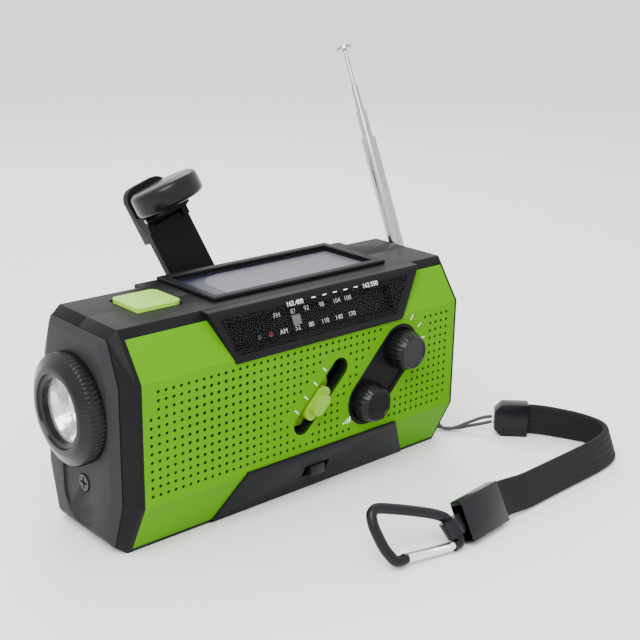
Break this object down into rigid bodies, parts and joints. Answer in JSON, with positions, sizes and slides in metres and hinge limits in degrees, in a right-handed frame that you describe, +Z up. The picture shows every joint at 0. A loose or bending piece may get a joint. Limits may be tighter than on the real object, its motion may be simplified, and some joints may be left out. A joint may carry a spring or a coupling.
{
  "type": "emergency radio",
  "caption": "Hand-crank emergency radio with torch, solar panel, tuning dial, telescopic antenna and a wrist strap with snap hook.",
  "frame": {"origin": "on the surface the casing stands on, under the middle of its depth and level with the middle of the sound-hole grid along its length", "axes": "+X along the casing from the torch to the antenna end, -Y out of the dial face, +Z up"},
  "size_m": [0.1634, 0.1214, 0.121],
  "materials": {
    "case_black": "satin",
    "cap_grey": "satin",
    "panel_green": "satin",
    "button_lime": "satin",
    "slider_green": "satin",
    "gloss_black": "gloss",
    "window_clear": "clear",
    "lens_clear": "clear",
    "led_red": "gloss",
    "led_warm": "gloss",
    "reflector": "polished",
    "solar": "gloss",
    "steel": "satin",
    "screw_dark": "satin",
    "chrome": "polished",
    "brass": "satin",
    "gear_white": "satin",
    "board_green": "satin",
    "cone_black": "matte",
    "cap_cream": "satin",
    "ferrite": "matte",
    "cell_blue": "satin",
    "cell_gold": "gloss",
    "strap_black": "matte",
    "hook_black": "satin",
    "gate_silver": "polished"
  },
  "bodies": {
    "casing": {"front_shell": "case_black", "back_shell": "case_black", "end_cap": "cap_grey", "front_panel": "panel_green", "dial_housing": "case_black", "dial_window": "window_clear", "dial_plate": "gloss_black", "indicator_lights": "led_red", "lower_trim": "case_black", "knob_well": "case_black", "solar_frame": "case_black", "solar_cell": "solar", "torch_ring": "case_black", "torch_reflector": "reflector", "torch_lens": "lens_clear", "torch_led": "led_warm", "end_cap_screw": "screw_dark", "case_screws": "screw_dark", "generator": "steel", "antenna_mount": "case_black", "circuit_board": "board_green", "speaker": "cone_black", "tuning_capacitor": "cap_cream", "volume_pot": "steel", "ferrite_antenna": "ferrite", "lithium_cell": "cell_blue", "aaa_cells": "cell_gold", "battery_contacts": "steel", "usb_sockets": "steel", "strap_anchor": "case_black", "strap_cord": "strap_black", "upper_clip": "gloss_black", "strap_webbing": "strap_black", "lower_clip": "gloss_black", "strap_loop": "strap_black", "carabiner_body": "hook_black"},
    "pointer": {"dial_pointer": "steel"},
    "tuning": {"tuning_knob": "gloss_black"},
    "volume": {"volume_knob": "gloss_black"},
    "band_switch": {"band_slider": "slider_green"},
    "cell_switch": {"battery_selector": "gloss_black"},
    "button": {"power_button": "button_lime"},
    "crank": {"crank_hub": "case_black", "arm_hinge_pin": "steel", "drive_gear": "gear_white"},
    "rotor": {"generator_pinion": "brass"},
    "arm": {"crank_arm": "case_black", "carrier_pin": "steel"},
    "knob_bracket": {"knob_carrier": "case_black"},
    "hand_knob": {"crank_knob": "case_black"},
    "antenna_1": {"antenna_swivel": "chrome", "antenna_tube_1": "chrome"},
    "antenna_2": {"antenna_tube_2": "chrome"},
    "antenna_3": {"antenna_tube_3": "chrome"},
    "antenna_4": {"antenna_rod": "chrome"},
    "door": {"battery_door": "case_black"},
    "flap": {"port_flap": "case_black"},
    "gate": {"carabiner_gate": "gate_silver"}
  },
  "joints": [
    {"name": "tuning_turn", "type": "hinge", "parent": "casing", "child": "tuning", "pos_m": [0.0338, -0.02, 0.0386], "axis": [0, 1, 0], "range_deg": [-10, 280]},
    {"name": "pointer_travel", "type": "slide", "parent": "casing", "child": "pointer", "axis": [1, 0, 0], "range_m": [-0.001, 0.0205]},
    {"name": "volume_turn", "type": "hinge", "parent": "casing", "child": "volume", "pos_m": [0.0209, -0.02, 0.0252], "axis": [0, 1, 0], "range_deg": [-30, 240]},
    {"name": "band_travel", "type": "slide", "parent": "casing", "child": "band_switch", "axis": [0.7097, 0, 0.7045], "range_m": [-0.004, 0.008]},
    {"name": "cell_travel", "type": "slide", "parent": "casing", "child": "cell_switch", "axis": [1, 0, 0], "range_m": [-0.002, 0.002]},
    {"name": "button_press", "type": "slide", "parent": "casing", "child": "button", "axis": [0, 0, -1], "range_m": [0, 0.0008], "stiffness_N_per_m": 600},
    {"name": "crank_spin", "type": "hinge", "parent": "casing", "child": "crank", "pos_m": [0.0089, 0.0274, 0.0305], "axis": [0, 1, 0], "continuous": true},
    {"name": "rotor_spin", "type": "hinge", "parent": "casing", "child": "rotor", "pos_m": [0.02615, 0.014, 0.0305], "axis": [0, 1, 0], "continuous": true},
    {"name": "arm_fold", "type": "hinge", "parent": "crank", "child": "arm", "pos_m": [0.0089, 0.0274, 0.0305], "axis": [-0.9455, 0, -0.3256], "range_deg": [0, 150]},
    {"name": "bracket_fold", "type": "hinge", "parent": "arm", "child": "knob_bracket", "pos_m": [-0.0061, 0.03964, 0.07406], "axis": [0.9455, 0, 0.3256], "range_deg": [0, 80]},
    {"name": "knob_spin", "type": "hinge", "parent": "knob_bracket", "child": "hand_knob", "pos_m": [-0.00733, 0.03414, 0.07764], "axis": [-0.3096, 0.309, 0.8992], "continuous": true},
    {"name": "antenna_swing", "type": "hinge", "parent": "casing", "child": "antenna_1", "pos_m": [0.0622, 0.0042, 0.05], "axis": [1, 0, 0], "range_deg": [-35, 110]},
    {"name": "antenna_slide_2", "type": "slide", "parent": "antenna_1", "child": "antenna_2", "axis": [0, 0.4099, 0.9121], "range_m": [-0.008, 0.028]},
    {"name": "antenna_slide_3", "type": "slide", "parent": "antenna_2", "child": "antenna_3", "axis": [0, 0.4099, 0.9121], "range_m": [-0.008, 0.028]},
    {"name": "antenna_slide_4", "type": "slide", "parent": "antenna_3", "child": "antenna_4", "axis": [0, 0.4099, 0.9121], "range_m": [-0.011, 0.0235]},
    {"name": "door_swing", "type": "hinge", "parent": "casing", "child": "door", "pos_m": [-0.0325, 0.02135, 0.01565], "axis": [-1, 0, 0], "range_deg": [0, 100]},
    {"name": "flap_swing", "type": "hinge", "parent": "casing", "child": "flap", "pos_m": [0.04635, 0.02285, 0.0286], "axis": [-1, 0, 0], "range_deg": [0, 110]},
    {"name": "gate_swing", "type": "hinge", "parent": "casing", "child": "gate", "pos_m": [0.00755, -0.06867, 0.00184], "axis": [0.1283, 0.8191, -0.5592], "range_deg": [0, 18], "stiffness_Nm_per_rad": 0.01}
  ],
  "couplings": [
    {"joint": "pointer_travel", "follows": "tuning_turn", "m_per_rad": 0.00414},
    {"joint": "rotor_spin", "follows": "crank_spin", "ratio": -3.6}
  ]
}
